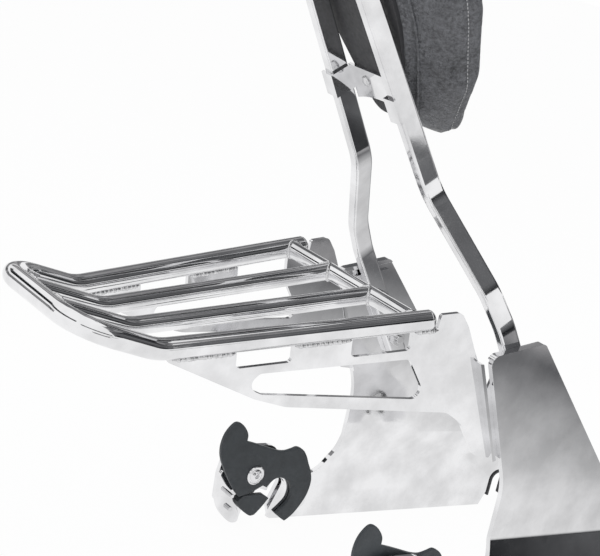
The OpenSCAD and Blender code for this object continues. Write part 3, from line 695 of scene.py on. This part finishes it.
JAW = [(19, 39.5), (11, 32), (14, 26), (22, 19), (34, 12), (41, 12.6), (49, 22), (57, 34), (46.5, 40)]
JAW_CORNERS = (0, 1, 5, 7, 8)
LEVER_HOLE, LEVER_HOLE_R = (24, 69), 5.06


class BACKREST_OT_latches(Piece):
    """Rotary docking latches: housing, cheek, jaw, lever, screw and pins"""

    bl_idname = "backrest.latches"
    bl_label = "Docking latches"

    def make(self, context):
        for side, way in (("right", -1), ("left", 1)):
            dressed("latch_cheek_" + side, "chrome", 0.6)
            t = np.linspace(0, 2 * math.pi, 48, endpoint=False)
            hole = np.stack([np.cos(t), np.sin(t)], -1) * LEVER_HOLE_R + LEVER_HOLE
            for part, outlines, edge, kind, body in (
                ("housing", [curved(HOUSING, HOUSING_CORNERS)], 0.6, "chrome", "frame"),
                ("jaw", [curved(JAW, JAW_CORNERS)], 0.6, "coat", "frame"),
                ("lever", [curved(LEVER, LEVER_CORNERS), hole], sizes().lever_edge, "coat", "lever_" + side),
            ):
                flat = [(outline - SEAT_XZ) * MM for outline in outlines]
                name = part + "_" + side
                cut_plate(name, "latch_" + name, flat, way, edge * MM, kind, body)
            dressed("wave_washer_" + side, "hardware", 0.1)
            dressed("pivot_screw_" + side, "hardware", 0.2)
            dressed("stop_pin_" + side, "hardware", 0.4)
            dressed("latch_rivets_" + side, "hardware", 0.3)
            dressed("front_bush_" + side, "plastic", 0.5)


class BACKREST_OT_fasteners(Piece):
    """Studs, washers and nuts of the bar, and the pad's screws"""

    bl_idname = "backrest.fasteners"
    bl_label = "Fasteners"

    def make(self, context):
        for side in ("right", "left"):
            dressed("plate_studs_" + side, "hardware", 0.5)
            dressed("stud_washers_" + side, "hardware", 0.3)
            dressed("stud_nuts_" + side, "hardware", 0.3)
        dressed("pad_screws", "hardware", 0.2)


# The pad, in the bar's frame in mm: u forward, y left, v up along the bar

PAD_BACK, PAD_REAR, PAD_SEAM, PAD_WIDE = 20.5, 27.0, 64.0, 75.0
PAD_MIDDLE = 175.0
# Half outlines from the bottom to the top: half width, height, corner radius
PAD_OUTLINES = {
    "back": [(24, 42, 22), (66, 160, 150), (64, 296, 36)],
    "seam": [(31, 0, 22), (88, 70, 60), (131, 184, 150), (122, 329, 62)],
    "wide": [(28, -6, 22), (93, 78, 60), (137, 182, 150), (128, 333, 66)],
}


def pad_reach(name, count=240):
    """Distance from the pad's middle to one of its outlines, for equal steps of the angle
    round the middle: the outline's own angles and distances, interpolated."""
    half = PAD_OUTLINES[name]
    pts = half + [(-a, b, c) for a, b, c in half[::-1]]
    path = evenly(filleted([p[:2] for p in pts], [p[2] for p in pts], closed=True), 900, True)
    away = path - [0, PAD_MIDDLE]
    angle = np.arctan2(away[:, 1], away[:, 0]) % (2 * math.pi)
    order = np.argsort(angle)
    want = np.linspace(0, 2 * math.pi, count, endpoint=False)
    return np.interp(want, angle[order], np.linalg.norm(away, axis=1)[order], period=2 * math.pi)


def pad_ring(reach, u):
    """A ring of the pad: (u, reach cos a, middle + reach sin a) for equal steps of a."""
    a = np.linspace(0, 2 * math.pi, len(reach), endpoint=False)
    return np.stack([np.broadcast_to(u, a.shape), reach * np.cos(a), PAD_MIDDLE + reach * np.sin(a)], -1)


def pad_section(count=240):
    """The pad's reach at some depths u, from back to front: the side wall runs straight from
    the rear seam to the front seam, then bulges to the widest outline and rolls over."""
    back, seam, wide = (pad_reach(n, count) for n in ("back", "seam", "wide"))
    rear = back + 5
    wall, bulge = seam - rear, wide - seam
    return [(PAD_BACK, back - 3), (PAD_BACK + 2.5, back + 1.5), (PAD_REAR, rear),
            (35.0, rear + wall * 0.30), (46.0, rear + wall * 0.68), (54.0, rear + wall * 0.92),
            (PAD_SEAM, seam), (67.5, seam + bulge * 0.7), (71.0, seam + bulge * 0.95),
            (PAD_WIDE, wide), (79.0, wide - 3), (83.0, wide - 8), (86.0, wide - 16)]


def pad_shape(crown):
    """Rings from the middle of the back, round the side wall and over the crowned front: past
    the last ring of the section the front rises towards the middle as crown (1 - k^2)."""
    section = pad_section()
    rings = [pad_ring(section[0][1] * k, PAD_BACK) for k in (0.02, 0.3, 0.6, 0.85, 0.97)]
    for (u0, r0), (u1, r1) in zip(section[:-1], section[1:]):
        for w in (0, 0.5):
            rings.append(pad_ring(r0 + (r1 - r0) * w, u0 + (u1 - u0) * w))
    rings.append(pad_ring(section[-1][1], section[-1][0]))
    u, reach = section[-1]
    for k in (0.9, 0.75, 0.55, 0.35, 0.15, 0.02):
        rings.append(pad_ring(reach * k, u + crown * (1 - k * k)))
    return np.stack(rings)


def apply_modifiers(piece):
    """Replaces a piece's mesh by what its modifiers make of it."""
    graph = bpy.context.evaluated_depsgraph_get()
    made = bpy.data.meshes.new_from_object(piece.evaluated_get(graph))
    piece.modifiers.clear()
    old = piece.data
    piece.data = made
    bpy.data.meshes.remove(old)


def coordinates(mesh):
    co = np.empty(len(mesh.vertices) * 3, np.float32)
    mesh.vertices.foreach_get("co", co)
    return co.reshape(-1, 3).astype(float)


def remeshed(piece, size=0.0052):
    """Gives a closed mesh even quads of the given size."""
    remesh = piece.modifiers.new("remesh", "REMESH")
    remesh.mode = "VOXEL"
    remesh.voxel_size = size
    remesh.use_smooth_shade = True
    apply_modifiers(piece)


def inflated(piece, pressure=4.0, cap=0.0045, frames=20):
    """Swells a closed mesh with cloth under pressure; no point moves more than the cap."""
    start = coordinates(piece.data)
    cloth = piece.modifiers.new("cloth", "CLOTH")
    s = cloth.settings
    s.quality = 5
    s.mass = 0.35
    s.tension_stiffness = s.compression_stiffness = 22
    s.bending_stiffness = 2.5
    s.use_pressure = True
    s.uniform_pressure_force = pressure
    s.effector_weights.gravity = 0
    scene = bpy.context.scene
    for step in range(frames):
        scene.frame_set(step + 1)
    apply_modifiers(piece)
    scene.frame_set(1)
    end = coordinates(piece.data)
    move = end - start
    far = np.linalg.norm(move, axis=1, keepdims=True)
    move *= np.minimum(1, cap / np.maximum(far, 1e-9))
    piece.data.vertices.foreach_set("co", (start + move).astype(np.float32).ravel())
    piece.data.update()


def pad_line(u, count=480):
    """A line round the pad at the depth u, in the model's frame: the reach is interpolated
    between the rings of the section."""
    section = pad_section(count)
    depths = [d for d, _ in section]
    k = max(1, min(len(depths) - 1, int(np.searchsorted(depths, u))))
    w = (u - depths[k - 1]) / (depths[k] - depths[k - 1])
    reach = section[k - 1][1] * (1 - w) + section[k][1] * w
    return on_bar(pad_ring(reach, u))


def sunk(piece, curves, depth, width=0.0042):
    """Sinks the surface along the curves: each point moves against its normal by
    depth exp(-(d / width)^2), where d is its distance to the nearest curve."""
    mesh = piece.data
    p = coordinates(mesh)
    normal = np.empty(len(mesh.vertices) * 3, np.float32)
    mesh.vertex_normals.foreach_get("vector", normal)
    normal = normal.reshape(-1, 3)
    curve = np.concatenate(curves)
    # In blocks, to save memory
    blocks = np.array_split(p, 60)
    d = np.concatenate([np.sqrt(((b[:, None] - curve[None]) ** 2).sum(-1).min(1)) for b in blocks])
    p = p - normal * (depth * MM * np.exp(-((d / width) ** 2)))[:, None]
    mesh.vertices.foreach_set("co", p.astype(np.float32).ravel())
    mesh.update()


def stitches(tree, curve, pitch, length, radius=0.62, lift=0.35):
    """Capsules laid along a curve and pressed onto the surface: each is a unit sphere scaled
    to (length / 2, r, 3/4 r) in the directions along, across and out of the surface."""
    total = np.linalg.norm(np.roll(curve, -1, 0) - curve, axis=1).sum()
    count = int(total / (pitch * MM))
    at = evenly(curve, count, True)
    along = unit(np.roll(at, -1, 0) - np.roll(at, 1, 0))
    hits = [tree.find_nearest(Vector(p)) for p in at]
    place = np.array([h[0] for h in hits])
    out = unit(np.array([h[1] for h in hits]))
    along = unit(along - (along * out).sum(1, keepdims=True) * out)
    across = np.cross(out, along)
    rows, columns = 7, 6
    a = np.linspace(0, math.pi, rows)[:, None]
    b = np.linspace(0, 2 * math.pi, columns, endpoint=False)[None]
    ball = np.stack(np.broadcast_arrays(np.cos(a), np.sin(a) * np.cos(b), np.sin(a) * np.sin(b)), -1)
    ball = ball.reshape(-1, 3) * [length / 2, radius, radius * 0.75] * MM
    axes = np.stack([along, across, out], 1)
    points = (place + out * lift * MM)[:, None] + np.einsum("bk,skc->sbc", ball, axes)
    faces = grid_faces(rows, columns)[None] + np.arange(count)[:, None, None] * len(ball)
    return points.reshape(-1, 3), faces.reshape(-1, 4)


class BACKREST_OT_pad(Piece):
    """The padded rest: a crowned cushion in grained vinyl with a stitched seam and a welt"""

    bl_idname = "backrest.pad"
    bl_label = "Pad"

    def make(self, context):
        rings = on_bar(pad_shape(sizes().pad_crown))
        n, m = rings.shape[:2]
        pad = new_piece("pad_cover", rings, grid_faces(n, m)[:, ::-1], finish_of("vinyl"), slot="vinyl",
                        replaced=["pad_cushion"], extra=[range(m), range((n - 1) * m, n * m)[::-1]])
        remeshed(pad)
        inflated(pad)
        fine = pad.modifiers.new("fine", "SUBSURF")
        fine.levels = fine.render_levels = 1
        apply_modifiers(pad)
        sunk(pad, [pad_line(PAD_SEAM), pad_line(PAD_REAR)], sizes().seam_depth)
        pad.data.polygons.foreach_set("use_smooth", np.ones(len(pad.data.polygons), bool))
        tree = BVHTree.FromObject(pad, context.evaluated_depsgraph_get())
        row = pad_line(PAD_SEAM - 4.0)
        points, faces = stitches(tree, row, sizes().stitch_pitch, sizes().stitch_length)
        new_piece("pad_stitching", points, faces, finish_of("thread"), slot="vinyl")
        # The rear seam's folded welt lies on the cover
        hits = [tree.find_nearest(Vector(p)) for p in pad_line(PAD_REAR + 3.0, count=360)]
        welt = np.array([np.array(h[0]) + np.array(h[1]) * 0.0004 for h in hits])
        for _ in range(6):
            welt = (np.roll(welt, 1, 0) + 2 * welt + np.roll(welt, -1, 0)) / 4
        tube("pad_welt", welt, 1.7 * MM, finish_of("vinyl"), closed=True, slot="vinyl")


# How much of the paper's white is seen whatever the light; the rest shows the shadow
PAPER = 0.955

# Cards that the plating reflects, in metres round the upright axis. Each kind has a name, the
# scale of its clouds, its dark and light colours, and bands: a start and an end bearing in
# degrees from forward towards the left, and a profile of distances and heights.
CARDS = (
    ("grey card", 1.3, (0.12, 0.122, 0.128), (0.42, 0.415, 0.42), [
        (-53, 28, [(0.45, 0.004), (1.4, 0.004), (3.2, 0.004), (3.2, 0.4), (3.2, 0.95)]),
        (4, 85, [(3.2, 1.1), (3.0, 2.1), (2.6, 2.6), (2.2, 2.95)]),
        (-75, 75, [(2.2, 2.95), (1.7, 3.2), (1.0, 3.35)]),
        (60, 150, [(3.2, 0.3), (3.2, 0.6), (3.2, 0.95)]),
        (-130, -95, [(2.4, 0.004), (3.2, 0.004), (3.2, 0.3)]),
    ]),
    ("dark card", 0.9, (0.012, 0.013, 0.015), (0.17, 0.172, 0.178), [
        (-80, 4, [(3.2, 1.25), (3.0, 2.0), (2.6, 2.6), (2.2, 2.95)]),
        (100, 200, [(3.1, 1.4), (2.9, 1.9)]),
        (-58, -38, [(1.6, 0.008), (3.1, 0.008), (3.1, 0.3)]),
        (-150, -85, [(3.2, 1.1), (3.1, 1.5)]),
        (-100, -75, [(3.2, 0.5), (3.2, 0.62)]),
    ]),
)
CARD_STEPS = 48


class BACKREST_OT_stage(Piece):
    """Pale floor, soft studio light, reflecting cards and the camera"""

    bl_idname = "backrest.stage"
    bl_label = "Stage"

    def make(self, context):
        scene = context.scene
        light = scene.backrest_light
        scene.view_settings.view_transform = "Standard"
        world = scene.world or bpy.data.worlds.new("studio")
        scene.world = world
        world.use_nodes = True
        tree = world.node_tree
        tree.nodes.clear()
        out = tree.nodes.new("ShaderNodeOutputWorld")
        mix = tree.nodes.new("ShaderNodeMixShader")
        soft = tree.nodes.new("ShaderNodeBackground")
        bright = tree.nodes.new("ShaderNodeBackground")
        soft.inputs["Color"].default_value = (0.96, 0.97, 1.0, 1)
        soft.inputs["Strength"].default_value = light.surround
        bright.inputs["Color"].default_value = (1, 1, 1, 1)
        tree.links.new(self.seen_rays(tree), mix.inputs[0])
        tree.links.new(soft.outputs[0], mix.inputs[1])
        tree.links.new(bright.outputs[0], mix.inputs[2])
        tree.links.new(mix.outputs[0], out.inputs["Surface"])
        self.floor()
        self.cards()
        self.lamp("key lamp", (0.2, -0.5, 2.4), (0.0, 0.0, 0.25), 2.2, light.key)
        self.lamp("fill lamp", (-1.9, -1.9, 1.1), (0.0, 0.0, 0.25), 1.6, light.fill)
        data = bpy.data.cameras.new("photograph")
        data.sensor_width = 36
        data.lens = 99.774
        data.shift_x, data.shift_y = -0.00192, -0.01764
        data.clip_end = 50
        camera = bpy.data.objects.new("photograph", data)
        camera.location = (-1.19517, -1.33191, 0.75535)
        camera.rotation_mode = "QUATERNION"
        camera.rotation_quaternion = Quaternion((0.771287, 0.552439, -0.26746, -0.168502))
        scene.collection.objects.link(camera)
        scene.camera = camera

    def seen_rays(self, tree):
        """1 for rays from the camera, from a glossy surface or through a clear one."""
        rays = tree.nodes.new("ShaderNodeLightPath")
        value = rays.outputs["Is Camera Ray"]
        for other in ("Is Glossy Ray", "Is Transmission Ray"):
            most = tree.nodes.new("ShaderNodeMath")
            most.operation = "MAXIMUM"
            tree.links.new(value, most.inputs[0])
            tree.links.new(rays.outputs[other], most.inputs[1])
            value = most.outputs[0]
        return value

    def floor(self):
        mesh = bpy.data.meshes.new("floor")
        z = CAD_BOX[0][2] - 0.0005
        mesh.from_pydata([(-9, -9, z), (9, -9, z), (9, 9, z), (-9, 9, z)], [], [(0, 1, 2, 3)])
        material = bpy.data.materials.new("pale floor")
        material.use_nodes = True
        tree = material.node_tree
        shader = next(n for n in tree.nodes if n.type == "BSDF_PRINCIPLED")
        shader.inputs["Base Color"].default_value = (0.93, 0.93, 0.93, 1)
        shader.inputs["Roughness"].default_value = 0.9
        paper = tree.nodes.new("ShaderNodeEmission")
        paper.inputs["Color"].default_value = (1, 1, 1, 1)
        # Seen directly or in the plating, the paper is white, but for the shadow's share
        share = tree.nodes.new("ShaderNodeMath")
        share.operation = "MULTIPLY"
        share.inputs[1].default_value = PAPER
        tree.links.new(self.seen_rays(tree), share.inputs[0])
        mix = tree.nodes.new("ShaderNodeMixShader")
        tree.links.new(share.outputs[0], mix.inputs[0])
        tree.links.new(shader.outputs[0], mix.inputs[1])
        tree.links.new(paper.outputs[0], mix.inputs[2])
        out = next(n for n in tree.nodes if n.type == "OUTPUT_MATERIAL")
        tree.links.new(mix.outputs[0], out.inputs["Surface"])
        mesh.materials.append(material)
        floor = bpy.data.objects.new("floor", mesh)
        bpy.context.scene.collection.objects.link(floor)

    def cards(self):
        """Each band of a card is its profile (r, z) carried round the upright axis from one
        bearing to another: (r cos t, r sin t, z)."""
        low = CAD_BOX[0][2]
        for name, scale, dark, light, bands in CARDS:
            m = Nodes(name)
            cloud = m.add("ShaderNodeTexNoise", Scale=scale, Detail=4.0, Roughness=0.55, Distortion=0.8)
            m.link(m.where, cloud.inputs["Vector"])
            away = m.add("ShaderNodeVectorMath", operation="LENGTH")
            m.link(m.where, away.inputs[0])
            m.set(Base_Color=(0, 0, 0, 1), Roughness=1.0, Specular_IOR_Level=0.0, Emission_Strength=1.0)
            shade = m.mixed(m.ranged(cloud.outputs["Fac"], 0, 1, 0.4, 0.64), dark, light)
            # Near the object the cards fade into the white paper
            fade = m.add("ShaderNodeMixRGB")
            fade.inputs[1].default_value = (PAPER, PAPER, PAPER, 1)
            m.link(m.ranged(away.outputs["Value"], 0, 1, 0.45, 1.3), fade.inputs[0])
            m.link(shade, fade.inputs[2])
            m.link(fade.outputs[0], m.shader.inputs["Emission Color"])
            parts = []
            for start, end, profile in bands:
                t = np.radians(np.linspace(start, end, CARD_STEPS))
                r, z = np.array(profile).T[..., None]
                points = np.stack(np.broadcast_arrays(r * np.cos(t), r * np.sin(t), low + z), -1)
                parts.append((points, grid_faces(len(profile), CARD_STEPS, close_columns=False)))
            self.card(name.replace(" ", "_"), parts, m.material)

    def card(self, name, parts, material):
        """One mesh of a kind's bands, hidden from all rays but glossy ones."""
        points, faces = joined(parts)
        mesh = bpy.data.meshes.new(name)
        mesh.from_pydata(points.tolist(), [], faces.tolist())
        mesh.materials.append(material)
        cards = bpy.data.objects.new(name, mesh)
        bpy.context.scene.collection.objects.link(cards)
        cards.visible_camera = cards.visible_diffuse = False
        cards.visible_shadow = cards.visible_transmission = False

    def lamp(self, name, place, target, size, power):
        data = bpy.data.lights.new(name, "AREA")
        data.shape = "SQUARE"
        data.size = size
        data.energy = power
        lamp = bpy.data.objects.new(name, data)
        lamp.location = place
        lamp.visible_glossy = False
        lamp.rotation_euler = (Vector(target) - Vector(place)).to_track_quat("-Z", "Y").to_euler()
        bpy.context.scene.collection.objects.link(lamp)


STEPS = (BACKREST_OT_bar, BACKREST_OT_rack, BACKREST_OT_welds, BACKREST_OT_plates, BACKREST_OT_latches,
         BACKREST_OT_fasteners, BACKREST_OT_pad, BACKREST_OT_stage)


class BACKREST_PT_panel(bpy.types.Panel):
    """The steps and what may be changed"""

    bl_idname = "BACKREST_PT_panel"
    bl_label = "Backrest"
    bl_space_type = "VIEW_3D"
    bl_region_type = "UI"
    bl_category = "Backrest"

    def draw(self, context):
        scene = context.scene
        for group in (scene.backrest_sizes, scene.backrest_finishes, scene.backrest_light):
            box = self.layout.box()
            for key in group.__annotations__:
                box.prop(group, key)
        for step in STEPS:
            self.layout.operator(step.bl_idname)


CLASSES = (BackrestSizes, BackrestFinishes, BackrestLight, *STEPS, BACKREST_PT_panel)


def register():
    for c in CLASSES:
        bpy.utils.register_class(c)
    bpy.types.Scene.backrest_sizes = bpy.props.PointerProperty(type=BackrestSizes)
    bpy.types.Scene.backrest_finishes = bpy.props.PointerProperty(type=BackrestFinishes)
    bpy.types.Scene.backrest_light = bpy.props.PointerProperty(type=BackrestLight)


def unregister():
    del bpy.types.Scene.backrest_light
    del bpy.types.Scene.backrest_finishes
    del bpy.types.Scene.backrest_sizes
    for c in reversed(CLASSES):
        bpy.utils.unregister_class(c)


def main():
    register()
    for step in STEPS:
        getattr(bpy.ops.backrest, step.bl_idname.split(".")[1])()


if __name__ == "__main__":
    main()
